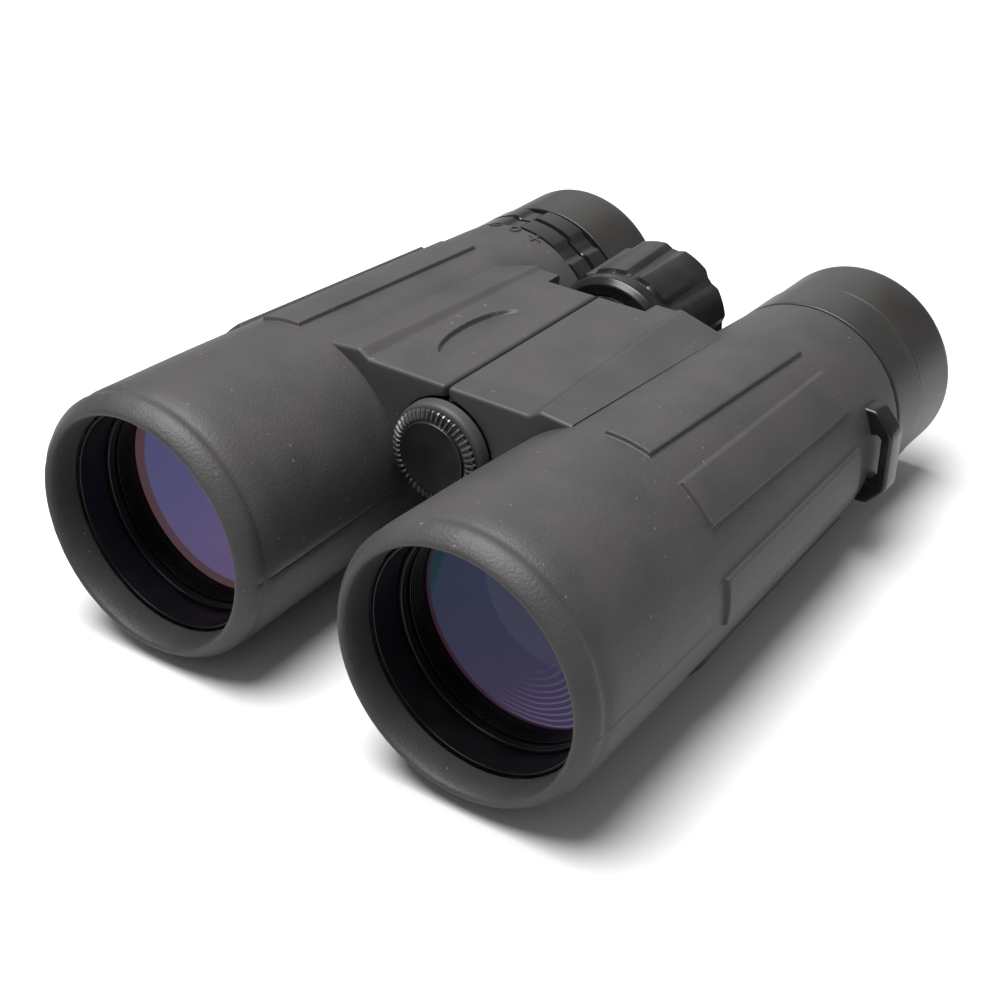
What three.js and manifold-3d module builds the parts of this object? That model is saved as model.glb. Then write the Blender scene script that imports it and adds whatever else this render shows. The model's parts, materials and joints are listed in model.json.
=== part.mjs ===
// Roof-prism binoculars, 42 mm objectives, with centre focus, right-hand dioptre and twist-up eyecups.
//
// Millimetres. +X is the user's left, +Y runs from the objectives to the eyepieces, +Z is up.
// Inside the model y = 0 is the front rim of the objectives and z = 0 is the height of the optical axes;
// the outer group moves the whole so that its origin is the middle of the base of its box.
import * as THREE from 'three';
import { mergeVertices } from 'three/addons/utils/BufferGeometryUtils.js';
import Module from 'manifold-3d';

const wasm = await Module();
wasm.setup();

// ---- driving dimensions -------------------------------------------------------------------

const pupilDistance = 71.5;      // optical axis to optical axis, barrels fully spread
const hingeRise = 10.2;          // hinge axis above the optical axes
const overallLength = 148;
const rimRadius = 26.8;          // bumper ridge round each objective
const gap = 0.3;                 // running and assembly clearance between neighbours

const armourTaper = [[5, 26.7], [30, 26.0], [45, 25.3], [122, 21.5]];  // [y, outer radius]
const armourThickness = 1.6;
const armourEnd = { left: 122.1, right: 119.4 };
const wallThickness = 1.9;       // magnesium barrel wall
const shoulderY = 116.5;         // where the barrel steps down to the eyepiece neck
const neckY = 118.5;
const neckEnd = 140;
const neckRadius = 16.9;
const neckBore = 16.0;

const objectiveBore = 22.9;
const objectiveFront = 8.0;
const objectiveBack = 30;
const lensRadius = 21.6;

const bridgeFront = 46.5;        // front wall of the bridge covers
const bridgeBack = 101;
const bridgeNotch = { reach: 11.7, y: 97 };   // room for the focus knob
const bridgeTop = 23.2;
const bridgeBottom = 1.6;
const bridgeSkin = 0.8;
const webTop = 20;
const webBottom = 3.9;

const axleRadius = 6.5;
const axleBore = 4.5;
const knuckleRadius = 9.7;
const hingeRelief = 10.3;        // the webs stay outside this radius, off the other barrel's knuckles
const knuckleSpans = {
  left: [[47.6, 53.6], [91.2, 96.4]],
  right: [[54.9, 61.6], [84, 90]],
};
const knuckleBore = axleRadius + gap;
const webFront = knuckleSpans.left[0][0];
const webBack = knuckleSpans.left[1][1];

const focusTravel = 3;           // each way
const armThickness = 4.4;
const armSpan = [71.3, 76.3];
const clevisSpans = [[66.5, 71], [76.6, 79.6]];
const focusRingRadius = 9.2;
const crossPinY = 68.7;
const crossPinRadius = 1.2;
const focusScrewRadius = 2.3;

const knobFront = 102;
const knobBandEnd = 105.6;
const knobBack = 124.3;
const knobRadius = 14.9;
const knobValley = 14.1;
const knobSkirtRadius = 14.2;
const knobHubRadius = 10.6;
const gripLands = 9;

const capFace = 41.7;            // flat front of the tripod cap
const collarFront = 43.4;
const collarRadius = 10.3;
const tripodBore = 3.3;          // 1/4-20 thread
const knurlTeeth = 48;

const eyecupRadius = 21.2;
const eyecupFront = { left: 133.5, right: 132.2 };
const ringRadius = 21.5;
const ringSpans = { left: [122.4, 133.2], right: [119.7, 131.2] };

const halfPupil = pupilDistance / 2;
const hingeSlant = Math.atan2(hingeRise, halfPupil);   // slope of the line from hinge to optical axis
const fine = 32;                 // sides of the largest round parts
const middling = 20;
const coarse = 12;

// ---- finishes -----------------------------------------------------------------------------

function finish(color, roughness, metalness = 0) {
  return new THREE.MeshStandardMaterial({ color, roughness, metalness });
}
const armourRubber = () => finish(0x55565a, 0.8);
const cupRubber = () => finish(0x3a3634, 0.65);
const knobPlastic = () => finish(0x26272b, 0.35);
const glossBlack = () => finish(0x17181b, 0.2);
const castMetal = () => finish(0x8b8d90, 0.45, 0.9);
const blackAluminium = () => finish(0x141416, 0.4, 0.6);
const steel = () => finish(0xa9abad, 0.3, 1);
const brass = () => finish(0xb08d4a, 0.35, 1);
const nylon = () => finish(0xd8d4c8, 0.5);
const coatedGlass = () => finish(0x4b4a80, 0.05);
const clearGlass = () => finish(0xbfc9cc, 0.05);

// ---- shape helpers ------------------------------------------------------------------------

// outer radius of the rubber armour at y
function armourRadius(y) {
  const found = armourTaper.findIndex(([at], i) => i > 0 && at >= y);
  const next = found < 0 ? armourTaper.length - 1 : found;
  const [y0, r0] = armourTaper[next - 1];
  const [y1, r1] = armourTaper[next];
  return r0 + (r1 - r0) * (y - y0) / (y1 - y0);
}

// turns an outline of [radius, y] points about the Y axis
function revolve(outline, sides) {
  return new THREE.LatheGeometry(outline.map(([radius, y]) => new THREE.Vector2(radius, y)), sides);
}

function ring(innerRadius, outerRadius, front, back, sides) {
  const corners = [[innerRadius, front], [outerRadius, front], [outerRadius, back], [innerRadius, back]];
  return revolve([...corners, corners[0]], sides);
}

function disc(radius, front, back, sides) {
  return revolve([[0, front], [radius, front], [radius, back], [0, back]], sides);
}

// extrudes an outline of [x, z] points along Y
function extrudeAlongY(outline, front, back, hole) {
  const shape = new THREE.Shape(outline.map(([x, z]) => new THREE.Vector2(x, z)));
  if (hole) shape.holes.push(new THREE.Path(hole.map(([x, z]) => new THREE.Vector2(x, z))));
  const geometry = new THREE.ExtrudeGeometry(shape, { depth: back - front, bevelEnabled: false });
  return geometry.rotateX(Math.PI / 2).translate(0, back, 0);
}

// extrudes an outline of [y, z] points to both sides of the plane x = 0
function extrudeAcross(outline, halfWidth) {
  const shape = new THREE.Shape(outline.map(([y, z]) => new THREE.Vector2(y, z)));
  const geometry = new THREE.ExtrudeGeometry(shape, { depth: 2 * halfWidth, bevelEnabled: false });
  const axes = new THREE.Matrix4().makeBasis(
    new THREE.Vector3(0, 1, 0), new THREE.Vector3(0, 0, 1), new THREE.Vector3(1, 0, 0));
  return geometry.applyMatrix4(axes).translate(-halfWidth, 0, 0);
}

function block(xSpan, ySpan, zSpan) {
  const size = [xSpan, ySpan, zSpan].map(([low, high]) => high - low);
  const middle = [xSpan, ySpan, zSpan].map(([low, high]) => (low + high) / 2);
  return new THREE.BoxGeometry(...size).translate(...middle);
}

// points of an arc in the XZ plane, angles in degrees from +X towards +Z
function arc([x, z], radius, from, to, steps) {
  return Array.from({ length: steps + 1 }, (_, i) => {
    const angle = THREE.MathUtils.degToRad(from + (to - from) * i / steps);
    return [x + radius * Math.cos(angle), z + radius * Math.sin(angle)];
  });
}

// outline of a ring's outside with equal raised lands
function landOutline(count, landRadius, valleyRadius, landDegrees, slopeDegrees) {
  const pitch = 360 / count;
  const outline = [];
  const half = landDegrees / 2;
  for (let i = 0; i < count; i++) {
    const middle = i * pitch;
    const valley = [middle + half + slopeDegrees, middle + pitch - half - slopeDegrees];
    outline.push(...arc([0, 0], landRadius, middle - half, middle + half, 3));
    outline.push(...arc([0, 0], valleyRadius, ...valley, 1));
  }
  return outline;
}

// [radius, y] points of a lens face, from the axis at y = apex to its edge at y = rim
function lensFace(radius, apex, rim, steps = 3) {
  return Array.from({ length: steps + 1 }, (_, i) => {
    const share = i / steps;
    return [radius * share, apex + (rim - apex) * share ** 2];
  });
}

function lens(radius, frontApex, frontRim, backRim, backApex) {
  const front = lensFace(radius, frontApex, frontRim);
  const back = lensFace(radius, backApex, backRim).reverse();
  return revolve([...front, ...back], middling);
}

function warp(geometry, move) {
  const position = geometry.attributes.position;
  const point = new THREE.Vector3();
  for (let i = 0; i < position.count; i++) {
    move(point.fromBufferAttribute(position, i));
    position.setXYZ(i, point.x, point.y, point.z);
  }
  return geometry;
}

// a closed geometry as a solid that can be joined and cut
function solid(geometry) {
  const bare = geometry.clone();
  bare.deleteAttribute('normal');
  bare.deleteAttribute('uv');
  const merged = mergeVertices(bare);
  const corners = merged.index.array;
  const triangles = [];
  for (let i = 0; i < corners.length; i += 3) {
    const [a, b, c] = corners.slice(i, i + 3);
    if (a !== b && b !== c && c !== a) triangles.push(a, b, c);
  }
  return new wasm.Manifold(new wasm.Mesh({
    numProp: 3,
    vertProperties: Float32Array.from(merged.attributes.position.array),
    triVerts: Uint32Array.from(triangles),
  }));
}

function geometryOf(body) {
  const mesh = body.getMesh();
  const geometry = new THREE.BufferGeometry();
  geometry.setAttribute('position', new THREE.BufferAttribute(mesh.vertProperties, 3));
  geometry.setIndex(new THREE.BufferAttribute(mesh.triVerts, 1));
  geometry.computeVertexNormals();
  return geometry;
}

function addPart(group, name, geometry, material) {
  const mesh = new THREE.Mesh(geometry, material);
  mesh.name = name;
  group.add(mesh);
}

// a barrel's pieces are made about its own optical axis, with the hinge at this point of its XZ plane
const hinge = [-halfPupil, hingeRise];

function aboutHinge(geometry) {
  return geometry.translate(hinge[0], 0, hinge[1]);
}

// ---- barrel: housing, armour, bridge cover --------------------------------------------------

function housingOutside() {
  const skin = (y) => armourRadius(y) - armourThickness - gap;
  return revolve([
    [0, objectiveFront + gap], [skin(8), objectiveFront + gap], [skin(30), 30], [skin(45), 45],
    [skin(shoulderY), shoulderY], [neckRadius, neckY], [neckRadius, neckEnd], [0, neckEnd],
  ], fine);
}

function housingInside() {
  const bore = (y) => armourRadius(y) - armourThickness - gap - wallThickness;
  return revolve([
    [0, 0], [objectiveBore, 0], [objectiveBore, 31], [bore(34), 34], [bore(45), 45],
    [bore(shoulderY - 2.5), shoulderY - 2.5], [neckBore, shoulderY - 0.5],
    [neckBore, neckEnd + 1], [0, neckEnd + 1],
  ], fine);
}

// the slot that the focus arm slides in, along the line from the hinge to the optical axis
function armSlot() {
  const half = armThickness / 2 + gap + 0.2;
  const span = [clevisSpans[0][0] - focusTravel - gap, clevisSpans[1][1] + focusTravel + gap];
  return aboutHinge(block([2, halfPupil - 8], span, [-half, half]).rotateY(hingeSlant));
}

function housing(side) {
  const webOutline = [
    ...arc(hinge, hingeRelief, 75, -37.7, 8),
    [-halfPupil + 16, webBottom], [-halfPupil + 26, webTop],
  ];
  let body = solid(housingOutside()).add(solid(extrudeAlongY(webOutline, webFront, webBack)));
  for (const span of knuckleSpans[side]) {
    const root = block([-halfPupil + 7, -halfPupil + 14], span, [hingeRise - 4.2, hingeRise + 4.2]);
    body = body.add(solid(aboutHinge(disc(knuckleRadius, ...span, middling)))).add(solid(root));
  }
  body = body.subtract(solid(aboutHinge(disc(knuckleBore, webFront - 1, webBack + 1, middling))));
  return geometryOf(body.subtract(solid(housingInside())).subtract(solid(armSlot())));
}

function armourOutline(side) {
  const end = armourEnd[side];
  const skin = armourRadius;
  const lining = (y) => armourRadius(y) - armourThickness;
  const liningEnd = neckY + 0.4;
  const back = side === 'left'
    ? [[neckRadius + gap, end], [neckRadius + gap, liningEnd], [lining(shoulderY), liningEnd]]
    : [[lining(shoulderY), end]];
  return [
    [22.8, 7.7], [23.2, 1.3], [23.8, 0.3], [24.4, 0], [25.8, 0], [26.5, 0.5], [rimRadius, 1.6],
    [rimRadius, 2.6], [26.45, 3.4], [26.45, 4.4], [skin(5.3), 5.3], [skin(30), 30], [skin(45), 45],
    [skin(end - 0.5), end - 0.5], [skin(end) - 0.5, end],
    ...back, [lining(45), 45], [lining(30), 30], [lining(8), 7.7], [22.8, 7.7],
  ];
}

// a raised grip pad that follows the barrel's taper
const pads = { front: 46, back: 102, height: 0.8, degrees: 20, middles: [81.5, 44.8, 2, -40, -80] };

function gripPad(middle) {
  const base = armourRadius(pads.front);
  const half = pads.degrees / 2;
  const outline = [
    ...arc([0, 0], base + pads.height, middle - half, middle + half, 3),
    ...arc([0, 0], base - pads.height, middle + half, middle - half, 1),
  ];
  return warp(extrudeAlongY(outline, pads.front, pads.back), (point) => {
    const shrink = armourRadius(point.y) / base;
    point.x *= shrink;
    point.z *= shrink;
  });
}

const lug = { front: 110, back: 115, half: 11, out: 26.75, shoulder: 21, barHalf: 6.6 };

function armour(side) {
  let body = solid(revolve(armourOutline(side), fine));
  for (const middle of pads.middles) body = body.add(solid(gripPad(middle)));
  const webSlot = block([-40, -8], [webFront - gap, webBack + gap], [webBottom - gap, webTop + gap]);
  const knobRelief = aboutHinge(disc(knobRadius + 0.7, bridgeBack - 1, 125, fine));
  const lugPocket = block([10, 40], [lug.front - gap, lug.back + gap], [-lug.half - gap, lug.half + gap]);
  for (const cut of [webSlot, knobRelief, lugPocket]) body = body.subtract(solid(cut));
  return geometryOf(body);
}

// the cover's section changes from front to back, so the back end of the extrusion is moved to
// its own outline
function coverBlank() {
  const low = [[30, webTop], [14.5, bridgeBottom], [4, bridgeBottom]];
  const front = [[0.2, bridgeTop], [19, bridgeTop], [20.4, 24.6], [24.5, 24.8], [27.4, 24.2], ...low];
  const back = [[0.2, bridgeTop], [17, bridgeTop], [17.5, 23.6], [22.5, 23.3], [27.4, 21.8], ...low];
  return warp(extrudeAlongY(front, bridgeFront, bridgeBack), (point) => {
    if (point.y < bridgeBack - 1) return;
    const corner = front.findIndex(([x, z]) => Math.hypot(x - point.x, z - point.z) < 0.01);
    [point.x, point.z] = back[corner];
  }).translate(-halfPupil, 0, 0);
}

function bridgeCover(side) {
  const inside = [bridgeFront + bridgeSkin, webBack + gap];
  const barrelRoom = revolve([
    [0, 40], [armourRadius(40) + gap, 40], [armourRadius(45) + gap, 45],
    [armourRadius(110) + gap, 110], [0, 110],
  ], fine);
  let body = solid(coverBlank());
  const cuts = [
    block([-halfPupil - 5, 0], inside, [webBottom - gap, webTop + gap]),
    aboutHinge(disc(hingeRelief + 0.4, bridgeFront - 1, bridgeBack + 1, fine)),
    block([-halfPupil - 5, -halfPupil + bridgeNotch.reach], [bridgeNotch.y, bridgeBack + 1], [0, 30]),
    barrelRoom,
  ];
  if (side === 'right') cuts.push(scallop());
  for (const cut of cuts) body = body.subtract(solid(cut));
  return geometryOf(body);
}

// thumb rest: an oval hollow in the right-hand cover, deepest at its outer side
function scallop() {
  const hollow = new THREE.SphereGeometry(1, 20, 10).scale(7.5, 12.5, 2.2);
  return hollow.rotateY(THREE.MathUtils.degToRad(9)).translate(-halfPupil + 7.6, 69, bridgeTop + 1);
}

// closed strap loop, seated in the armour on the barrel's outer side
function strapLug() {
  const seat = armourRadius(lug.front) - armourThickness;
  const seatAngle = THREE.MathUtils.radToDeg(Math.asin(lug.half / seat));
  const outline = [
    [lug.shoulder, -lug.half], [lug.out, -lug.barHalf], [lug.out, lug.barHalf], [lug.shoulder, lug.half],
    ...arc([0, 0], seat, seatAngle, -seatAngle, 6),
  ];
  return extrudeAlongY(outline, lug.front, lug.back, [[23, -5], [25.2, -5], [25.2, 5.3], [23, 5.3]]);
}

// ---- optics -------------------------------------------------------------------------------

function objectiveTube() {
  const outer = objectiveBore - gap;
  return revolve([
    [21.9, objectiveFront], [outer, objectiveFront], [outer, objectiveBack],
    [20.6, objectiveBack], [20.6, 28.6], [21.9, 28.6], [21.9, objectiveFront],
  ], fine);
}

function retainingRing() {
  const corners = [[21.15, 14.5], [lensRadius, 14.5], [lensRadius, 21.6], [20.9, 21.6]];
  return revolve([...corners, corners[0]], fine);
}

const prismSpan = [82, 115];
const cageRadius = 17;

function prismCage() {
  const [front, back] = prismSpan;
  let body = solid(ring(9, cageRadius, front, front + 1.5, coarse));
  body = body.add(solid(ring(9, cageRadius - 0.6, back - 1.5, back, coarse)));
  for (let i = 0; i < 4; i++) {
    const post = block([13, 15.5], [front + 0.5, back - 0.5], [-1.5, 1.5]);
    body = body.add(solid(post.rotateY(Math.PI / 4 + i * Math.PI / 2)));
  }
  return geometryOf(body);
}

const halfPentaPrism = () => extrudeAcross([[84, -8], [97, -8], [91.5, 8], [84, 8]], 8);
const roofPrism = () => extrudeAcross([[92.3, 8], [97.5, -7], [112.8, -7], [112.8, 3], [107.8, 8]], 7);

function ocularTube() {
  const outer = neckBore - gap;
  return revolve([
    [13.8, 116.6], [outer, 116.6], [outer, 143], [12.6, 143], [12.6, 141.3], [13.8, 141.3], [13.8, 116.6],
  ], middling);
}

// ---- eyepiece rings -------------------------------------------------------------------------

function ringBore([front, back]) {
  const flange = front + 2;
  return revolve([
    [0, front - 1], [neckRadius + gap, front - 1], [neckRadius + gap, flange], [19.3, flange],
    [19.3, back + 1], [0, back + 1],
  ], fine);
}

function baseRing() {
  const [front, back] = ringSpans.left;
  const outside = revolve([
    [0, front], [ringRadius - 0.5, front], [ringRadius, front + 0.5], [ringRadius, back - 0.4],
    [ringRadius - 0.4, back], [0, back],
  ], fine);
  return geometryOf(solid(outside).subtract(solid(ringBore(ringSpans.left))));
}

// two rows of finger lands with a groove between them
function dioptreRing() {
  const [front, back] = ringSpans.right;
  const outline = landOutline(gripLands, ringRadius, ringRadius - 0.8, 25, 4);
  const groove = ring(ringRadius - 1, ringRadius + 1, 125.2, 125.8, fine);
  const body = solid(extrudeAlongY(outline, front, back)).subtract(solid(groove));
  return geometryOf(body.subtract(solid(ringBore(ringSpans.right))));
}

function eyecupRubber(side) {
  const front = eyecupFront[side];
  const back = overallLength;
  return revolve([
    [19.2, front], [20.6, front], [eyecupRadius, front + 0.6], [eyecupRadius, back - 1.5],
    [20.8, back - 0.5], [19.8, back], [16, back], [15.2, back - 0.6], [15.2, back - 1.7],
    [19.2, back - 1.7], [19.2, front],
  ], fine);
}

function eyecupSleeve() {
  return revolve([
    [18.1, 126], [18.9, 126], [18.9, 146], [15.4, 146], [15.4, 144.6], [18.1, 144.6], [18.1, 126],
  ], middling);
}

// ---- focus arms: a lens cell on a bar that reaches the rings round the axle -------------------

function focusArm(side) {
  const [front, back] = armSpan;
  const cell = [70, 77];
  const bar = (from, to, span) => {
    const half = armThickness / 2;
    return solid(aboutHinge(block([from, to], span, [-half, half]).rotateY(hingeSlant)));
  };
  const collar = (span) => solid(aboutHinge(ring(axleRadius + gap, focusRingRadius, ...span, middling)));
  const spans = side === 'left' ? clevisSpans : [armSpan];
  let body = solid(ring(12.2, 14, ...cell, middling));
  body = body.add(bar(10, Math.hypot(...hinge) - 12.6, [front, back]));
  for (const span of spans) body = body.add(collar(span)).add(bar(7.6, 11, span));
  if (side === 'left') {
    body = body.add(bar(9.8, 11.5, [spans[0][0], spans[1][1]]));
    body = body.subtract(solid(aboutHinge(crossPinShape(crossPinRadius + gap, 12))));
  }
  return geometryOf(body);
}

function crossPinShape(radius, halfLength) {
  return disc(radius, -halfLength, halfLength, 12).rotateZ(Math.PI / 2).translate(0, crossPinY, 0);
}

// ---- one barrel -----------------------------------------------------------------------------

function barrel(side) {
  const group = new THREE.Group();
  const add = (name, geometry, material) => addPart(group, `${side}_${name}`, geometry, material);
  add('housing', housing(side), castMetal());
  add('armour', armour(side), armourRubber());
  add('bridge_cover', bridgeCover(side), armourRubber());
  add('strap_lug', strapLug(), glossBlack());
  add('objective_tube', objectiveTube(), blackAluminium());
  add('retaining_ring', retainingRing(), blackAluminium());
  add('front_lens', lens(lensRadius, 19, 22, 23.2, 26.2), coatedGlass());
  add('rear_lens', lens(lensRadius, 26.5, 23.5, 28.3, 28), clearGlass());
  add('focus_arm', focusArm(side), castMetal());
  add('focus_lens', lens(12.2 - gap, 73, 71.5, 75.5, 74.5), clearGlass());
  add('prism_cage', prismCage(), castMetal());
  add('half_penta_prism', halfPentaPrism(), clearGlass());
  add('roof_prism', roofPrism(), clearGlass());
  add('ocular_tube', ocularTube(), blackAluminium());
  add('eye_lens', lens(13.5, 132.5, 135.5, 138.6, 141), coatedGlass());
  add('eyecup_guide', ring(neckRadius + gap, 17.8, 126, 142, middling), nylon());
  add('eyecup_sleeve', eyecupSleeve(), blackAluminium());
  add('eyecup_rubber', eyecupRubber(side), cupRubber());
  if (side === 'left') {
    add('field_lens', lens(13.5, 121.5, 123, 124.5, 127), clearGlass());
    add('base_ring', baseRing(), knobPlastic());
  } else {
    add('field_lens', lens(11.2, 121.5, 122.7, 124.5, 126.5), clearGlass());
    add('dioptre_cell', ring(11.5, 13.5, 120.3, 127, middling), blackAluminium());
    add('dioptre_ring', dioptreRing(), knobPlastic());
  }
  return group;
}

// ---- pieces on the hinge axis, made about it ------------------------------------------------

function hingeAxle() {
  const half = focusTravel + crossPinRadius + gap;
  const slot = block([-10, 10], [crossPinY - half, crossPinY + half], [-1.9, 1.9]);
  const tube = ring(axleBore, axleRadius, webFront, webBack + 0.2, middling);
  return geometryOf(solid(tube).subtract(solid(slot)));
}

function tripodSocket() {
  const spigot = axleBore - gap;
  return revolve([
    [tripodBore, 44.3], [8.4, 44.3], [8.4, collarFront], [collarRadius - 0.7, collarFront], [collarRadius, 44.2],
    [collarRadius, bridgeFront - gap], [spigot, bridgeFront - gap], [spigot, 60], [0, 60], [0, 58],
    [tripodBore, 58], [tripodBore, 44.3],
  ], fine);
}

function tripodCap() {
  const edge = 43;
  const core = revolve([
    [0, capFace], [7.2, capFace], [7.5, 42], [8.7, 42.8], [8.7, edge], [3, edge], [3, 49], [0, 49],
  ], middling);
  const teeth = Array.from({ length: 2 * knurlTeeth }, (_, i) => {
    const angle = Math.PI * i / knurlTeeth;
    const radius = i % 2 ? 8.9 : 9.5;
    return [radius * Math.cos(angle), radius * Math.sin(angle)];
  });
  const knurl = warp(extrudeAlongY(teeth, 42.2, edge), (point) => {
    const flare = 1 - (edge - point.y) * 0.2;
    point.x *= flare;
    point.z *= flare;
  });
  return geometryOf(solid(core).add(solid(knurl)));
}

function focusRod() {
  const bore = focusScrewRadius + 0.4;
  const rod = revolve([[0, 65.6], [3.6, 65.6], [3.6, 88], [bore, 88], [bore, 76], [0, 76]], coarse);
  return geometryOf(solid(rod).subtract(solid(crossPinShape(crossPinRadius + gap, 6))));
}

function focusBush() {
  return revolve([
    [2.7, 93.3], [axleBore - gap, 93.3], [axleBore - gap, 96.9], [10.4, 96.9], [10.4, knobFront - 0.4],
    [2.7, knobFront - 0.4], [2.7, 93.3],
  ], middling);
}

function knobGrip() {
  const outline = landOutline(gripLands, knobRadius, knobValley, 26, 4);
  const bore = disc(knobHubRadius + gap, knobBandEnd - 1, knobBack + 1, middling);
  return geometryOf(solid(extrudeAlongY(outline, knobBandEnd, knobBack)).subtract(solid(bore)));
}

function knobSkirt() {
  const inner = knobHubRadius + gap;
  const back = knobBandEnd - gap;
  return revolve([
    [inner, knobFront], [13.2, knobFront], [knobSkirtRadius, knobFront + 1], [knobSkirtRadius, back],
    [inner, back], [inner, knobFront],
  ], fine);
}

function hingeLine() {
  const group = new THREE.Group();
  const add = (name, geometry, material) => addPart(group, name, geometry, material);
  const washer = (from) => ring(knuckleBore, 9.4, from, from + 0.7, middling);
  add('hinge_axle', hingeAxle(), steel());
  add('hinge_washer_front', washer(53.9), brass());
  add('hinge_washer_rear', washer(90.25), brass());
  add('tripod_socket', tripodSocket(), blackAluminium());
  add('tripod_cap_seal', ring(4, 8.1, 43.3, 44, middling), nylon());
  add('tripod_cap', tripodCap(), knobPlastic());
  add('focus_rod', focusRod(), steel());
  add('focus_cross_pin', crossPinShape(crossPinRadius, 8.6), steel());
  add('focus_bush', focusBush(), blackAluminium());
  add('focus_screw', disc(focusScrewRadius, 80.5, 118, coarse), brass());
  const hub = ring(focusScrewRadius + gap, knobHubRadius, knobFront - 0.1, 122.8, middling);
  add('knob_hub', hub, castMetal());
  add('knob_skirt', knobSkirt(), glossBlack());
  add('knob_grip', knobGrip(), knobPlastic());
  add('knob_cap', disc(knobHubRadius, 123.1, 124, middling), knobPlastic());
  return group;
}

// ---- assembly -------------------------------------------------------------------------------

const group = new THREE.Group();
group.position.set(0, -overallLength / 2, rimRadius);

const leftBarrel = barrel('left');
leftBarrel.position.x = halfPupil;

const rightBarrel = barrel('right');
rightBarrel.position.x = -halfPupil;
rightBarrel.scale.x = -1;

const centre = hingeLine();
centre.position.z = hingeRise;

group.add(leftBarrel, rightBarrel, centre);

export default group;
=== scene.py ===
import bpy, bmesh, json, math
from mathutils import Matrix, Vector


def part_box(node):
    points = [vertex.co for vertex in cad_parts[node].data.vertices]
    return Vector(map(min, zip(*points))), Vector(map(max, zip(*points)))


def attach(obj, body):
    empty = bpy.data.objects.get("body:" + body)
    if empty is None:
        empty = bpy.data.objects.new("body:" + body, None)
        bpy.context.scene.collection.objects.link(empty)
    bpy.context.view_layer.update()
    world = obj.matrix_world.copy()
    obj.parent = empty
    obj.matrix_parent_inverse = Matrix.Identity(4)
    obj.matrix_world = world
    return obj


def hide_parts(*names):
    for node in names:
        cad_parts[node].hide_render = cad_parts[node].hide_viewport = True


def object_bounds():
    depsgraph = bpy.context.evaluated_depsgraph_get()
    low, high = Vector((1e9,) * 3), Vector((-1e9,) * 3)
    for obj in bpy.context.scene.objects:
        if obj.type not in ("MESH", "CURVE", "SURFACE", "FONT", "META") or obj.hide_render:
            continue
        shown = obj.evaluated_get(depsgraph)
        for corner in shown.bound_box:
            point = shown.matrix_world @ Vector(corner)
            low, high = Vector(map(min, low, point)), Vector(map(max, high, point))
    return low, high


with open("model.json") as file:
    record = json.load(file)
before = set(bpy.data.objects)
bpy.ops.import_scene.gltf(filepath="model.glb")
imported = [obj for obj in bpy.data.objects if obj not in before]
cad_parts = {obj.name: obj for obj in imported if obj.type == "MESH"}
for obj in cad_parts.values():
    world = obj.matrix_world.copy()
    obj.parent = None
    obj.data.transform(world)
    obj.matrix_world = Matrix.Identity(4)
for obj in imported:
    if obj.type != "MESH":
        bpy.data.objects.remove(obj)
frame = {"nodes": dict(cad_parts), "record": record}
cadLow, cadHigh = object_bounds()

mm = 0.001
axisRadius = 0.001                       # in mm; outlines that reach their axis stop here, and are welded shut
print("frame loaded:", len(frame["nodes"]), "nodes")


def middleOf(node):
    low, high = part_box(node)
    return (low + high) / 2


frontY = cadLow.y                    # plane of the objective rims; every station below counts from it, in mm
leftAxis = middleOf("left_eyecup_rubber")
rightAxis = middleOf("right_eyecup_rubber")
hingeAxis = middleOf("hinge_axle")
axisHeight = leftAxis.z / mm
halfPupil = leftAxis.x / mm
hingeRise = (hingeAxis.z - leftAxis.z) / mm
hingeReach = math.hypot(halfPupil, hingeRise)
sides = {"left": 1, "right": -1}


def station(node, end):
    low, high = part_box(node)
    return ((low if end == "front" else high).y - frontY) / mm


def newObject(name, mesh, material, sharpAngle=40):
    mesh.polygons.foreach_set("use_smooth", [True] * len(mesh.polygons))
    mesh.set_sharp_from_angle(angle=math.radians(sharpAngle))
    piece = bpy.data.objects.new(name, mesh)
    bpy.context.scene.collection.objects.link(piece)
    mesh.materials.clear()
    mesh.materials.append(material)
    return piece


def meshFrom(name, points, faces):
    mesh = bpy.data.meshes.new(name)
    mesh.from_pydata(points, [], faces)
    return closed(mesh, 1e-7)


# quads between rows of equal closed loops; joined links the last row to the first
def gridFaces(rows, count, joined=True):
    faces = []
    for row in range(rows if joined else rows - 1):
        here, there = row * count, (row + 1) % rows * count
        for i in range(count):
            j = (i + 1) % count
            faces.append((here + i, here + j, there + j, there + i))
    return faces


def unit(value):
    return min(max(value, 0), 1)


def eased(t):
    return t * t * (3 - 2 * t)


# smaller angle between two directions
def angleGap(first, second):
    return abs((first - second + math.pi) % (2 * math.pi) - math.pi)


# welds touching corners and turns every face outward
def closed(mesh, reach=2e-6):
    work = bmesh.new()
    work.from_mesh(mesh)
    bmesh.ops.remove_doubles(work, verts=work.verts, dist=reach)
    bmesh.ops.recalc_face_normals(work, faces=work.faces)
    work.to_mesh(mesh)
    work.free()
    return mesh


def settle(piece, body, slot, *nodes):
    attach(piece, body)
    if nodes:
        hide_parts(*nodes)


# corners given as (radius, y) stay sharp; a third number rounds them with that fillet
def filleted(corners):
    outline = []
    count = len(corners)
    for i, corner in enumerate(corners):
        here = Vector(corner[:2])
        fillet = corner[2] if len(corner) > 2 else 0
        if not fillet:
            outline.append(here)
            continue
        before = (Vector(corners[i - 1][:2]) - here).normalized()
        after = (Vector(corners[(i + 1) % count][:2]) - here).normalized()
        start, stop = here + before * fillet, here + after * fillet
        outline.append(here + before * fillet * 1.5)
        for step in range(5):
            t = step / 4
            outline.append(start * (1 - t) ** 2 + here * 2 * t * (1 - t) + stop * t ** 2)
        outline.append(here + after * fillet * 1.5)
    return outline


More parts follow.
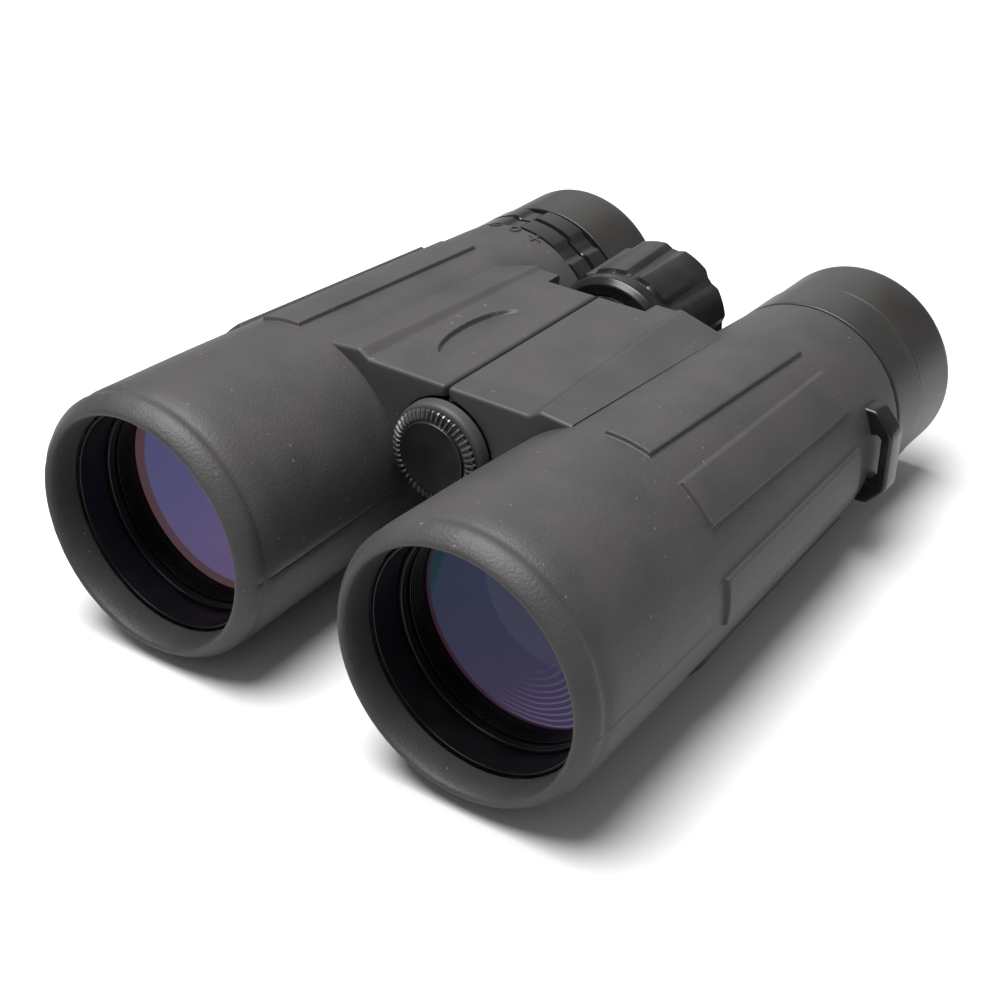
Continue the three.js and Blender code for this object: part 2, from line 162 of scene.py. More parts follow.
# turns a closed outline of (radius, y[, fillet]) corners about an axis that runs along Y
def lathe(name, corners, axis, material, steps=128):
    outline = filleted(corners)
    points = []
    for turn in range(steps):
        angle = 2 * math.pi * turn / steps
        for radius, y in outline:
            points.append((axis.x + math.sin(angle) * radius * mm, frontY + y * mm,
                           axis.z + math.cos(angle) * radius * mm))
    return newObject(name, meshFrom(name, points, gridFaces(steps, len(outline))), material)


# a socket that takes part in Python sums: every operator adds a Math node
class Wire:
    def __init__(self, web, socket):
        self.web, self.socket = web, socket

    def math(self, operation, *others):
        sockets = dict(enumerate([self, *others]))
        return self.web.node("Math", {"operation": operation}, sockets)

    def __add__(self, other):
        return self.math("ADD", other)

    def __sub__(self, other):
        return self.math("SUBTRACT", other)

    def __rsub__(self, other):
        return self.web.node("Math", {"operation": "SUBTRACT"}, {0: other, 1: self})

    def __mul__(self, other):
        return self.math("MULTIPLY", other)

    def __truediv__(self, other):
        return self.math("DIVIDE", other)

    def __rtruediv__(self, other):
        return self.web.node("Math", {"operation": "DIVIDE"}, {0: other, 1: self})

    __radd__, __rmul__ = __add__, __mul__

    def clamp(self):
        return self.web.node("Clamp", {}, {0: self})

    # eased step from 0 at low to 1 at high
    def smooth(self, low, high):
        return self.web.node("MapRange", {"interpolation_type": "SMOOTHSTEP"}, {0: self, 1: low, 2: high})


class Web:
    def __init__(self, tree):
        self.tree = tree

    # kind is a shader node's type without its prefix, or any type in full; sockets take values or Wires,
    # by name or number; out picks the output, or every output with None
    def node(self, kind, settings=None, sockets=None, out=0):
        full = kind if "Node" in kind else "ShaderNode" + kind
        made = self.tree.nodes.new(full)
        for key, value in (settings or {}).items():
            setattr(made, key, value)
        for key, value in (sockets or {}).items():
            socket = made.inputs[key]
            if isinstance(value, Wire):
                self.tree.links.new(value.socket, socket)
            else:
                socket.default_value = value
        if out is None:
            return [Wire(self, socket) for socket in made.outputs]
        return Wire(self, made.outputs[out]) if made.outputs else made


def colour(red, green, blue):
    return (red, green, blue, 1.0)


# Principled material; varying values come in as Wires, the rest are set on the shader's own sockets
def principled(name, build):
    material = bpy.data.materials.new(name)
    material.use_nodes = True
    material.node_tree.nodes.clear()
    web = Web(material.node_tree)
    surface = web.node("BsdfPrincipled", {}, build(web))
    web.node("OutputMaterial", {}, {"Surface": surface})
    return material


def objectPlace(web):
    return web.node("TexCoord", out="Object")


# the three parts of a vector
def split(web, vector):
    return web.node("SeparateXYZ", {}, {0: vector}, out=None)


def length(x, z):
    return (x * x + z * z).math("SQRT")


def mixed(web, factor, dark, light):
    return web.node("Mix", {"data_type": "RGBA"}, {0: factor, 6: dark, 7: light}, out=2)   # the colour sockets


def noise(web, place, size, detail=2.0):
    return web.node("TexNoise", {}, {"Vector": place, "Scale": 1 / size, "Detail": detail})


def bump(web, height, depth, below=None):
    sockets = {"Height": height, "Distance": depth}
    if below:
        sockets["Normal"] = below
    return web.node("Bump", {}, sockets)


# grain and depth in every look are in metres
rubberLook = {
    "dark": colour(0.034, 0.0325, 0.0328), "light": colour(0.042, 0.0398, 0.0390),
    "dust": colour(0.16, 0.15, 0.14), "dustSize": 0.0008, "dustStrength": 0.6,
    "mottle": 0.014, "pebble": 0.00055, "pebbleDepth": 0.00005, "fineGrain": 0.00022, "fineDepth": 0.000014,
    "roughness": 0.52, "roughnessSpread": 0.10, "specular": 0.32,
}


def rubberSkin(name, pebbled):
    look = rubberLook

    def build(web):
        place = objectPlace(web)
        mottle = noise(web, place, look["mottle"], 3.0)
        base = mixed(web, mottle.smooth(0.35, 0.65), look["dark"], look["light"])
        specks = noise(web, place, look["dustSize"], 0.0).smooth(0.855, 0.87)
        base = mixed(web, specks * look["dustStrength"], base, look["dust"])
        fine = noise(web, place, look["fineGrain"], 2.0)
        relief = bump(web, fine, look["fineDepth"])
        if pebbled:
            cells = web.node("TexVoronoi", {"feature": "SMOOTH_F1"},
                             {"Vector": place, "Scale": 1 / look["pebble"], "Smoothness": 0.6})
            relief = bump(web, 1 - cells, look["pebbleDepth"], relief)
        rough = look["roughness"] + (mottle - 0.5) * look["roughnessSpread"] + (fine - 0.5) * 0.12
        return {"Base Color": base, "Roughness": rough, "Normal": relief, "Specular IOR Level": look["specular"]}
    return principled(name, build)


# what the plain finishes of one kind share: the drift between their two colours, and its effect on roughness
plainKinds = {
    "rubber": {"drift": 0.012, "detail": 3.0, "low": 0.35, "high": 0.65, "spread": 0.16, "grainDetail": 2.0,
               "specular": 0.5},
    "plastic": {"drift": 0.006, "detail": 3.0, "low": 0.4, "high": 0.75, "spread": 0.14, "grainDetail": 2.0,
                "specular": 0.36},
    "metal": {"drift": 0.004, "detail": 4.0, "low": 0.3, "high": 0.7, "spread": 0.2, "grainDetail": 3.0,
              "specular": 0.5},
}
# name: kind, material name, dark and light colour, roughness, metallic, grain, depth of the grain
plainLook = {
    "cup": ("rubber", "eyecup rubber", (0.012, 0.0108, 0.0100), (0.017, 0.0155, 0.0143), 0.40, 0.0,
            0.0003, 0.00001),
    "satin": ("plastic", "satin black plastic", (0.0085, 0.0082, 0.0080), (0.014, 0.0132, 0.0125), 0.30, 0.0,
              0.00035, 0.000004),
    "ring": ("plastic", "soft black plastic", (0.020, 0.0190, 0.0182), (0.026, 0.0245, 0.023), 0.38, 0.0,
             0.00035, 0.000006),
    "gloss": ("plastic", "gloss black plastic", (0.006, 0.006, 0.0075), (0.012, 0.012, 0.015), 0.27, 0.0,
              0.0011, 0.000002),
    "anodised": ("plastic", "black anodised aluminium", (0.0060, 0.0052, 0.0055), (0.010, 0.009, 0.0092), 0.34, 0.4,
                 0.0004, 0.000004),
    "knurl": ("plastic", "worn knurl", (0.10, 0.10, 0.105), (0.15, 0.15, 0.155), 0.30, 0.6, 0.0004, 0.000003),
    "cast": ("metal", "cast light alloy", (0.13, 0.133, 0.138), (0.20, 0.205, 0.21), 0.48, 1.0, 0.0006, 0.00002),
    "steel": ("metal", "ground steel", (0.36, 0.36, 0.37), (0.46, 0.46, 0.47), 0.26, 1.0, 0.0003, 0.000003),
    "brass": ("metal", "turned brass", (0.40, 0.24, 0.07), (0.52, 0.34, 0.11), 0.30, 1.0, 0.0004, 0.000004),
}


def plainSkin(kind, name, dark, light, roughness, metallic, grainSize, grainDepth):
    shared = plainKinds[kind]

    def build(web):
        place = objectPlace(web)
        cloud = noise(web, place, shared["drift"], shared["detail"])
        base = mixed(web, cloud.smooth(shared["low"], shared["high"]), colour(*dark), colour(*light))
        grain = noise(web, place, grainSize, shared["grainDetail"])
        return {"Base Color": base, "Roughness": (cloud - 0.5) * shared["spread"] + roughness, "Metallic": metallic,
                "Specular IOR Level": shared["specular"], "Normal": bump(web, grain, grainDepth)}
    return principled(name, build)


def nylonSkin():
    def build(web):
        place = objectPlace(web)
        cloud = noise(web, place, 0.005, 2.0)
        base = mixed(web, cloud, colour(0.50, 0.47, 0.41), colour(0.60, 0.57, 0.50))
        return {"Base Color": base, "Roughness": 0.42 + cloud * 0.1}
    return principled("natural nylon", build)


# "shift" (x, z) and "reach" in mm place the sharp inner circle that leaves the crescent along one edge; every
# colour below is painted reflection of the surroundings, shown as glow
reflectionPaintLook = {
    "left": {
        "middle": colour(0.030, 0.036, 0.066), "low": colour(0.044, 0.036, 0.074),
        "rim": colour(0.032, 0.014, 0.024), "teal": colour(0.012, 0.034, 0.042),
        "shift": (0.7, 0.5), "reach": 21.1, "ripple": 0.5,
    },
    "right": {
        "middle": colour(0.074, 0.074, 0.170), "low": colour(0.105, 0.078, 0.175),
        "rim": colour(0.075, 0.043, 0.052), "teal": colour(0.060, 0.066, 0.140),
        "shift": (2.6, 1.6), "reach": 20.6, "ripple": 0.0,
    },
    "eye": {
        "middle": colour(0.010, 0.022, 0.020), "low": colour(0.024, 0.016, 0.030),
        "rim": colour(0.020, 0.010, 0.014), "teal": colour(0.010, 0.030, 0.030),
        "shift": (0.4, 0.4), "reach": 13.2, "ripple": 0.0,
    },
}


# painted reflection: the multi-layer coating's mirror image of its surroundings, given as glow over dark optics;
# its colour drifts across the glass, with a painted crescent at one edge and faint painted rings where the ridged
# wall is mirrored
def paintedReflectionGlass(name, look, axis):
    def build(web):
        place = objectPlace(web)
        shiftX, shiftZ = look["shift"]
        across, _, up = split(web, place)
        x, z = across / mm - axis.x / mm, up / mm - axis.z / mm
        inner = length(x - shiftX, z - shiftZ)
        film = noise(web, place, 0.012, 1.0)
        # painted reflection: the tint changes with height and side across the lens, with a teal streak near one
        # edge and a crescent at the rim
        slope = z * 0.75 - x * 0.45 + (film - 0.5) * 9
        tint = mixed(web, slope.smooth(-14, 10), look["low"], look["middle"])
        tint = mixed(web, (z * 0.35 - x).smooth(18.2, 20), tint, look["teal"])
        tint = mixed(web, inner.smooth(look["reach"] - 0.3, look["reach"] + 0.3), tint, look["rim"])
        # painted reflection of the ridged wall: faint rings on the lower right
        rings = ((length(x, z) + (film - 0.5) * 2.5) * 5.0).math("SINE").smooth(0.1, 1)
        lowerRight = (x - z).smooth(9, 24) * look["ripple"]
        tint = mixed(web, rings * lowerRight, tint, colour(0.16, 0.14, 0.24))
        # the painted reflection glows through the emission socket; the glass itself is nearly black
        return {"Base Color": colour(0.004, 0.004, 0.006), "Emission Color": tint, "Emission Strength": 1.0,
                "Roughness": film * 0.03 + 0.05, "Specular IOR Level": 0.06}
    return principled(name, build)


def clearGlass():
    def build(web):
        film = noise(web, objectPlace(web), 0.008, 1.0)
        tint = mixed(web, film, colour(0.62, 0.68, 0.70), colour(0.72, 0.78, 0.78))
        return {"Base Color": tint, "Roughness": 0.02 + film * 0.02, "Transmission Weight": 1.0, "IOR": 1.52}
    return principled("optical glass", build)


finish = {
    "armour": rubberSkin("pebbled armour rubber", True),
    "bridge": rubberSkin("smooth armour rubber", False),
    "nylon": nylonSkin(),
    "glass": clearGlass(),
}
finish.update({key: plainSkin(*look) for key, look in plainLook.items()})
slotFinish = {
    "armour_rubber": "armour", "cup_rubber": "cup", "dark_plastic": "satin", "gloss_black": "gloss",
    "cast_metal": "cast", "black_anodised": "anodised", "steel": "steel", "brass": "brass",
    "nylon": "nylon", "coated_glass": "glass", "inner_glass": "glass",
}
for part in frame["record"]["subparts"]:
    cadNode = frame["nodes"][part["node"]]
    cadNode.data.materials.clear()
    cadNode.data.materials.append(finish[slotFinish[part["material_slot"]]])
print("finishes made")


def geometryTree(name, inputs):
    tree = bpy.data.node_groups.new(name, "GeometryNodeTree")
    tree.interface.new_socket("Geometry", in_out="INPUT", socket_type="NodeSocketGeometry")
    tree.interface.new_socket("Geometry", in_out="OUTPUT", socket_type="NodeSocketGeometry")
    for label, (kind, value) in inputs.items():
        socket = tree.interface.new_socket(label, in_out="INPUT", socket_type="NodeSocket" + kind)
        if value is not None:
            socket.default_value = value
    web = Web(tree)
    given = {wire.socket.name: wire for wire in web.node("NodeGroupInput", out=None) if wire.socket.name}
    return tree, web, given


# last steps of every tree: real geometry with its material
def finishTree(web, geometry, material):
    real = web.node("GeometryNodeRealizeInstances", {}, {0: geometry})
    coated = web.node("GeometryNodeSetMaterial", {}, {"Geometry": real, "Material": material})
    web.node("NodeGroupOutput", {}, {0: coated})


def useTree(piece, tree, values):
    modifier = piece.modifiers.new(tree.name, "NODES")
    modifier.node_group = tree
    for item in tree.interface.items_tree:
        if item.item_type == "SOCKET" and item.in_out == "INPUT" and item.name in values:
            modifier[item.identifier] = values[item.name]


def bakeTree(piece, sharpAngle=40):
    bpy.context.view_layer.update()
    evaluated = piece.evaluated_get(bpy.context.evaluated_depsgraph_get())
    mesh = bpy.data.meshes.new_from_object(evaluated)
    mesh.name = piece.name
    piece.modifiers.clear()
    piece.data = mesh
    mesh.polygons.foreach_set("use_smooth", [True] * len(mesh.polygons))
    mesh.set_sharp_from_angle(angle=math.radians(sharpAngle))
    return piece


# copies of the incoming mesh, each turned and shifted from the last, then moved to the pivot
def repeatTree():
    tree, web, given = geometryTree("repeat piece", {
        "Copies": ("Int", 9), "Turn": ("Float", 0.1), "Shift": ("Float", 0.0), "Pivot": ("Vector", None),
        "Material": ("Material", None),
    })
    line = web.node("GeometryNodeMeshLine", {"mode": "OFFSET"}, {
        "Count": given["Copies"],
        "Offset": web.node("CombineXYZ", {}, {"X": 0.0, "Y": given["Shift"], "Z": 0.0}),
    })
    index = web.node("GeometryNodeInputIndex")
    turn = web.node("CombineXYZ", {}, {"X": 0.0, "Y": index * given["Turn"], "Z": 0.0})
    copies = web.node("GeometryNodeInstanceOnPoints", {}, {
        "Points": line, "Instance": given["Geometry"],
        "Rotation": web.node("FunctionNodeEulerToRotation", {}, {0: turn}),
    })
    placed = web.node("GeometryNodeTransform", {}, {"Geometry": copies, "Translation": given["Pivot"]})
    finishTree(web, placed, given["Material"])
    return tree


# raises equal lands round an axis along Y, between two stations, with sloped flanks
def landTree():
    tree, web, given = geometryTree("raised lands", {
        "Lands": ("Int", 9), "Height": ("Float", 0.0008), "Half width": ("Float", 0.2),
        "Half width at back": ("Float", 0.2), "Flank": ("Float", 0.06), "Phase": ("Float", 0.0),
        "Front": ("Float", 0.0), "Back": ("Float", 0.01), "End flank": ("Float", 0.0003), "Bow": ("Float", 0.0),
        "Least radius": ("Float", 0.0), "Axis": ("Vector", None), "Material": ("Material", None),
    })
    place = web.node("GeometryNodeInputPosition")
    away = web.node("VectorMath", {"operation": "SUBTRACT"}, {0: place, 1: given["Axis"]})
    flat = web.node("VectorMath", {"operation": "MULTIPLY"}, {0: away, 1: (1.0, 0.0, 1.0)})
    across, along, up = split(web, away)
    angle = across.math("ARCTAN2", up) + given["Phase"]
    pitch = 2 * math.pi / given["Lands"]
    offset = (angle + pitch * 50).math("PINGPONG", pitch / 2)
    reach = ((along - given["Front"]) / (given["Back"] - given["Front"])).clamp()
    half = given["Half width"] + (given["Half width at back"] - given["Half width"]) * reach
    rise = ((half - offset) / given["Flank"]).clamp()
    bow = (offset / given["Half width"]).math("POWER", 2.0) * given["Bow"]
    front = ((along - given["Front"] - bow) / given["End flank"]).clamp()
    back = ((given["Back"] - along) / given["End flank"]).clamp()
    radius = web.node("VectorMath", {"operation": "LENGTH"}, {0: flat}, out="Value")
    outside = radius.math("GREATER_THAN", given["Least radius"])
    outward = web.node("VectorMath", {"operation": "NORMALIZE"}, {0: flat})
    lift = web.node("VectorMath", {"operation": "SCALE"}, {
        0: outward, "Scale": given["Height"] * rise * front.math("MINIMUM", back) * outside,
    })
    raised = web.node("GeometryNodeSetPosition", {}, {"Geometry": given["Geometry"], "Offset": lift})
    finishTree(web, raised, given["Material"])
    return tree


repeatPiece, raiseLands = repeatTree(), landTree()


armourSizes = {
    "taper": [(5, 26.7), (30, 26.0), (45, 25.3), (122, 21.5)],   # (station, outer radius)
    "rim": [(22.8, 7.7), (22.8, 4.8), (22.85, 3.8), (22.97, 2.9), (23.15, 2.1), (23.4, 1.55), (23.75, 1.25),
            (24.15, 1.25), (24.7, 1.65), (25.3, 2.35), (25.85, 3.15), (26.25, 3.9), (26.5, 4.6), (26.55, 5.1),
            (26.42, 5.6), (26.18, 6.0), (26.12, 6.5), (26.25, 7.1)],   # (radius, station) over the bumper bead
    "thickness": 1.7, "recessDepth": 7.7, "neck": 17.2, "backEdge": 0.7,
    "partingAngle": -4.0, "partingWidth": 0.22, "partingDepth": 0.16, "knobRoom": 15.6, "knobFront": 98,
}
padSizes = {
    "front": 46, "back": 102, "halfWidth": 4.6, "height": 0.8, "edge": 0.42,
    "middles": [81.5, 44.8, 2.0, -40.0, -80.0],               # degrees up from the outer side
    "edgeSteps": [-1.6, -0.52, -0.3, -0.1, 0.1, 0.3, 0.52],   # mesh lines across an edge, in edge widths
}


def taperRadius(y):
    knots = armourSizes["taper"]
    for (y0, r0), (y1, r1) in zip(knots, knots[1:]):
        if y <= y1 or (y1, r1) == knots[-1]:
            return r0 + (r1 - r0) * (y - y0) / (y1 - y0)


# the taper with its corners smoothed
def armourRadius(y):
    reach, steps = 7, range(-3, 4)
    return sum(taperRadius(y + reach * step / 3) for step in steps) / len(steps)


# radius that keeps clear of the focus knob, which turns about the hinge axis
def knobLimit(angle, toHinge):
    away = math.cos(angle - toHinge)
    under = armourSizes["knobRoom"] ** 2 - hingeReach ** 2 * (1 - away ** 2)
    if away <= 0 or under <= 0:
        return math.inf
    return hingeReach * away - math.sqrt(under)


def padHeight(angle, y, radius):
    tallest = 0.0
    for middle in padSizes["middles"]:
        across = angleGap(angle, math.radians(middle)) * radius
        inside = min(padSizes["halfWidth"] - across, y - padSizes["front"], padSizes["back"] - y)
        tallest = max(tallest, padSizes["height"] * eased(unit(inside / padSizes["edge"] + 0.5)))
    return tallest


def armourAngles(radius):
    edge = padSizes["edge"]
    angles = []
    for middle in padSizes["middles"]:
        for sign in (-1, 1):
            for nudge in padSizes["edgeSteps"] + [1.4]:
                angles.append(math.radians(middle) + sign * (padSizes["halfWidth"] + nudge * edge) / radius)
        angles += [math.radians(middle + step) for step in (-20, -5, -2.5, 0, 2.5, 5, 20)]
    seam = math.radians(armourSizes["partingAngle"])
    for centre in (seam, math.pi - seam):
        angles += [centre + step * armourSizes["partingWidth"] / radius for step in (-1, -0.5, 0.5, 1)]
    angles += [math.radians(step) for step in range(104, 258, 4)]
    return sorted(angle % (2 * math.pi) for angle in angles)


def armourPoint(angle, radius, y, outer, toHinge):
    if outer:
        radius += padHeight(angle, y, radius)
        if y > armourSizes["knobFront"]:
            radius = min(radius, knobLimit(angle, toHinge))
    if outer and y < padSizes["front"] - 1:
        seam = math.radians(armourSizes["partingAngle"])
        for centre in (seam, math.pi - seam):
            across = angleGap(angle, centre) * radius
            radius -= armourSizes["partingDepth"] * max(0, 1 - across / armourSizes["partingWidth"])
    return radius


# (radius, station, takes pads and parting lines) round one closed section, from the rim back and home inside
def armourProfile(end, lip):
    thickness = armourSizes["thickness"]
    profile = [(radius, y, radius > 26.3) for radius, y in armourSizes["rim"]]
    stations = [8.0 + 3.16 * step for step in range(13)]
    for middle in (padSizes["front"], padSizes["back"]):
        stations += [middle + step * padSizes["edge"] for step in padSizes["edgeSteps"] + [1.6]]
    stations += [padSizes["front"] + 2 + 3.0 * step for step in range(18)]
    stations += [padSizes["back"] + 1.5 + 2.2 * step for step in range(1, 20)]
    for y in sorted(stations):
        if y < end - 0.9:
            profile.append((armourRadius(y), y, True))
    back = armourRadius(end)
    lining = lip or back - thickness
    tail = [(back, end - armourSizes["backEdge"]), (back - 0.15, end - 0.25), (back - 0.6, end), (lining, end)]
    tail += [(armourRadius(y) - thickness, y) for y in (end - (3 if lip else 0), 100, 60, 30)]
    tail.append((armourRadius(8) - thickness, armourSizes["recessDepth"]))
    return profile + [(radius, y, False) for radius, y in tail]


def barrelArmour(side):
    name, node = f"{side}Armour", f"{side}_armour"
    neck = armourSizes["neck"] if side == "left" else None
    toHinge = math.atan2(hingeRise, -halfPupil)
    profile = armourProfile(station(node, "back"), neck)
    points = []
    for radius, y, outer in profile:
        for angle in armourAngles(armourRadius(y)):
            reach = armourPoint(angle, radius, y, outer, toHinge)
            points.append((sides[side] * (halfPupil + reach * math.cos(angle)) * mm, frontY + y * mm,
                           (axisHeight + reach * math.sin(angle)) * mm))
    faces = gridFaces(len(profile), len(points) // len(profile))
    piece = newObject(name, meshFrom(name, points, faces), finish["armour"], 60)
    settle(piece, f"{side}_barrel", "armour_rubber", node)


for side in sides:
    barrelArmour(side)
print("armour made")


bridgeSizes = {
    "front": 46.5, "back": 101.0, "notchReach": 11.7, "notchBack": 97.0, "top": 23.2, "split": 0.22,
    # these change evenly from the front wall to the back wall
    "step": (18.4, 16.2), "stepRise": (1.5, 0.6), "run": (2.3, 1.3), "out": (27.8, 27.3),
    "edge": 0.8, "clear": 10.7, "bottom": 1.6, "sink": 0.5, "mouth": 0.7, "mouthDepth": 1.8,
    "edgeSteps": [0, 0.06, 0.16, 0.32, 0.56, 0.8],   # mesh lines over a rounded edge
}
hollowSizes = {
    "x": 8.4, "y": 69.0, "halfLength": 12.6, "halfWidth": 5.0, "depth": 1.05, "lip": 0.42,
    "fadeFrom": -0.62, "fadeLength": 1.45,   # across the hollow, in half widths
}


def edgeDrop(distance, radius):
    if distance >= radius:
        return 0.0
    rest = radius - max(distance, 0)
    return radius - math.sqrt(max(radius ** 2 - rest ** 2, 0))


def bridgeHeight(x, y, side, backEdge):
    size = bridgeSizes
    t = unit((y - size["front"]) / (size["back"] - size["front"]))
    stepAt, rise, run, out = [size[key][0] + (size[key][1] - size[key][0]) * t
                              for key in ("step", "stepRise", "run", "out")]
    ramp = sum(unit((x + nudge - stepAt) / run) for nudge in (-0.25, -0.1, 0.1, 0.25)) / 4
    height = size["top"] + rise * ramp
    # the raised strip leans outwards until it meets the barrel
    barrelTop = math.sqrt(max(armourRadius(y) ** 2 - (halfPupil - out) ** 2, 0))
    lean = min(max((x - stepAt - run) / (out - stepAt - run), 0), 1.2)
    height += (barrelTop + 0.12 - size["top"] - rise) * lean
    if side == "right":
        height -= hollowDepth(x, y)
    near = min(x - size["split"], y - size["front"], backEdge - y)
    return height - edgeDrop(near, size["edge"])


# thumb hollow: a crisp crescent lip on its outer side, fading out towards the split
def hollowDepth(x, y):
    size = hollowSizes
    across, along = (x - size["x"]) / size["halfWidth"], (y - size["y"]) / size["halfLength"]
    reach = math.hypot(across, along)
    if reach >= 1:
        return 0.0
    lip = unit((1 - reach) * size["halfWidth"] / size["lip"])
    fade = unit((across - size["fadeFrom"]) / size["fadeLength"])
    return size["depth"] * eased(lip) * eased(fade)


def bridgeStations():
    front = [bridgeSizes["front"] + step for step in bridgeSizes["edgeSteps"] + [1.2, 1.8]]
    hollow = [hollowSizes["y"] - 13.2 + 0.15 * step for step in range(177)]
    lead = [bridgeSizes["front"] + 2.6 + 0.9 * step for step in range(7)]
    return front + lead + hollow + [hollow[-1] + 0.9 * step for step in range(1, 14)]


def bridgeSection():
    size = bridgeSizes
    xs = [size["split"] + step for step in (0, 0.05, 0.14, 0.3, 0.55, 0.8, 1.2, 1.8, 2.4)]
    xs += [2.9 + 0.3 * step for step in range(13)] + [6.7 + 0.11 * step for step in range(43)]
    xs += [size["notchReach"] + 0.115 * step for step in range(21)]
    xs += [14.3 + 0.3 * step for step in range(45)]
    return [x for x in xs if x < 27.9]


def backEdgeAt(x):
    size = bridgeSizes
    return size["notchBack"] + (size["back"] - size["notchBack"]) * unit((x - size["notchReach"]) / 0.12)


# rounds the corner where the split opens at the front wall
def mouthShift(x, y):
    size = bridgeSizes
    depth = unit((y - size["front"]) / size["mouthDepth"])
    return size["mouth"] * (1 - math.sqrt(1 - (1 - depth) ** 2)) * max(0, 1 - x / 4)


# the hidden side of a section: down along the barrel, then back over the hinge knuckles to the split
def bridgeUnderside(row):
    size = bridgeSizes
    innerY, (outerX, outerY, outerZ) = row[0][1], row[-1]
    sunk = armourRadius(outerY) - size["sink"]
    start = math.atan2(outerZ, outerX - halfPupil)
    stop = math.pi - math.asin(size["bottom"] / sunk)
    under = []
    for step in range(1, 9):
        angle = start + (stop - start) * step / 8
        under.append((halfPupil + sunk * math.cos(angle), outerY, sunk * math.sin(angle)))
    low = math.asin((size["bottom"] - hingeRise) / size["clear"])
    high = math.acos((size["split"] + 0.3) / size["clear"])
    for step in range(13):
        angle = low + (high - low) * step / 12
        under.append((size["clear"] * math.cos(angle), innerY, hingeRise + size["clear"] * math.sin(angle)))
    under.append((size["split"], innerY, hingeRise + size["clear"] + 0.1))
    return under


def bridgeCover(side):
    name = f"{side}BridgeCover"
    stations = bridgeStations()
    last = stations[-1]
    xs = bridgeSection()
    backEdges = [backEdgeAt(x) for x in xs]
    lines = [[y] * len(xs) for y in stations]                    # the station of every x, row by row
    lines += [[last + (edge - 1.4 - last) * share for edge in backEdges] for share in (0.25, 0.5, 0.75, 1)]
    lines += [[edge - near for edge in backEdges] for near in reversed(bridgeSizes["edgeSteps"])]
    loops = []
    for line in lines:
        row = [(x, y, bridgeHeight(x, y, side, edge)) for x, y, edge in zip(xs, line, backEdges)]
        loops.append(row + bridgeUnderside(row))
    points = [(sides[side] * (x + mouthShift(x, y)) * mm, frontY + y * mm, (axisHeight + z) * mm)
              for loop in loops for x, y, z in loop]
    count = len(loops[0])
    faces = gridFaces(len(loops), count, joined=False)
    faces += [tuple(range(count)), tuple(range(len(points) - count, len(points)))]
    piece = newObject(name, meshFrom(name, points, faces), finish["bridge"], 50)
    settle(piece, f"{side}_barrel", "armour_rubber", f"{side}_bridge_cover")


for side in sides:
    bridgeCover(side)
print("bridge covers made")


# outlines are (radius, station, fillet)
objectiveSizes = {
    "tube": [(21.9, 8.0, 0.25), (22.6, 8.0, 0.25), (22.6, 30.0), (20.6, 30.0), (20.6, 28.6), (21.9, 28.6)],
    "ring": [(20.95, 14.5, 0.38), (21.75, 14.5, 0.1), (21.75, 21.4), (20.9, 21.4, 0.1), (20.9, 20.6), (21.2, 20.2),
             (21.2, 16.2), (20.95, 15.8)],
    "lens": {"radius": 21.6, "apex": 19.0, "edge": 22.0, "backEdge": 23.2, "backApex": 26.2},
    "baffles": 6, "bafflePitch": 0.62, "baffleRadius": 20.95, "baffleThick": 0.14, "baffleFront": 16.9,
}


# closed outline of a lens: its two faces are parabolas
def domeCorners(radius, apex, edge, backEdge, backApex, steps=14):
    front = [(radius * i / steps, apex + (edge - apex) * (i / steps) ** 2) for i in range(steps + 1)]
    back = [(radius * i / steps, backApex + (backEdge - backApex) * (i / steps) ** 2) for i in range(steps, -1, -1)]
    front[0], back[-1] = (axisRadius, apex), (axisRadius, backApex)
    return front + back


def objective(side, axis):
    size, body = objectiveSizes, f"{side}_barrel"
    tube = lathe(f"{side}ObjectiveTube", size["tube"], axis, finish["anodised"])
    settle(tube, body, "black_anodised", f"{side}_objective_tube")
    ring = lathe(f"{side}RetainingRing", size["ring"], axis, finish["anodised"])
    settle(ring, body, "black_anodised", f"{side}_retaining_ring")
    # the front lens shows its coating's painted reflection as glow
    glass = lathe(f"{side}FrontLens", domeCorners(**size["lens"]), axis,
                  paintedReflectionGlass(f"{side} objective painted reflection", reflectionPaintLook[side], axis))
    settle(glass, body, "coated_glass", f"{side}_front_lens")
    baffle = ringMesh(f"{side}Baffles", size["baffleRadius"], size["baffleThick"])
    ribs = newObject(f"{side}Baffles", baffle, finish["anodised"])
    useTree(ribs, repeatPiece, {
        "Copies": size["baffles"], "Turn": 0.0, "Shift": size["bafflePitch"] * mm,
        "Pivot": (axis.x, frontY + size["baffleFront"] * mm, axis.z), "Material": finish["anodised"],
    })
    settle(bakeTree(ribs), body, "black_anodised")


# a thin torus about the Y axis at the origin, for stacking
def ringMesh(name, radius, thick, steps=96, around=8):
    points = []
    for turn in range(steps):
        angle = 2 * math.pi * turn / steps
        for i in range(around):
            turnIn = 2 * math.pi * i / around
            reach = (radius + thick * math.cos(turnIn)) * mm
            points.append((math.sin(angle) * reach, thick * math.sin(turnIn) * mm, math.cos(angle) * reach))
    return meshFrom(name, points, gridFaces(steps, around))


axes = {"left": leftAxis, "right": rightAxis}
for side in sides:
    objective(side, axes[side])
print("objectives made")


